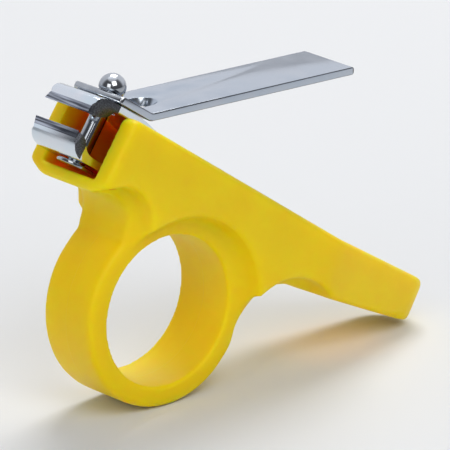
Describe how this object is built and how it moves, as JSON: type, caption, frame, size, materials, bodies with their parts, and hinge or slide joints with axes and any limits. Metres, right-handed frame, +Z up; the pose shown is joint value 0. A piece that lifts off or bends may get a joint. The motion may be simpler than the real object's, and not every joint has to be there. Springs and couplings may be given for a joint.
{
  "type": "nail clipper with finger ring handle",
  "caption": "Lever nail clipper held in a moulded handle with a finger ring and a tapering tail.",
  "frame": {"origin": "centre of the finger ring's bore, halfway along it", "axes": "+X from the jaws towards the tail, +Y along the finger ring's bore, +Z up as the clipper stands on its ring and its tail"},
  "size_m": [0.0727, 0.0188, 0.0533],
  "materials": {
    "moulding": "satin moulded polypropylene",
    "blade_steel": "polished nickel chrome with ground edges",
    "lever_steel": "polished nickel chrome",
    "post_steel": "polished nickel chrome",
    "rivet_steel": "plain"
  },
  "bodies": {
    "handle": {"handle": "moulding", "rivet_left": "rivet_steel", "rivet_right": "rivet_steel"},
    "lower_arm": {"lower_arm": "blade_steel"},
    "upper_arm": {"upper_arm": "blade_steel"},
    "post": {"post": "post_steel"},
    "lever": {"lever": "lever_steel"}
  },
  "joints": [
    {"name": "lower_close", "type": "hinge", "parent": "handle", "child": "lower_arm", "pos_m": [0.01645, 0, 0.00939], "axis": [0, 1, 0], "range_deg": [0, 2.1], "stiffness_Nm_per_rad": 15},
    {"name": "upper_close", "type": "hinge", "parent": "handle", "child": "upper_arm", "pos_m": [0.01645, 0, 0.00939], "axis": [0, -1, 0], "range_deg": [0, 2.1], "stiffness_Nm_per_rad": 15},
    {"name": "post_swivel", "type": "hinge", "parent": "lower_arm", "child": "post", "pos_m": [-0.01207, 0, 0.02639], "axis": [0.5779, 0, 0.8161], "continuous": true},
    {"name": "lever_press", "type": "hinge", "parent": "post", "child": "lever", "pos_m": [-0.00792, 0, 0.03537], "axis": [0, 1, 0], "range_deg": [0, 19]}
  ],
  "couplings": [
    {"joint": "lower_close", "follows": "lever_press", "ratio": 0.11},
    {"joint": "upper_close", "follows": "lever_press", "ratio": 0.11}
  ]
}
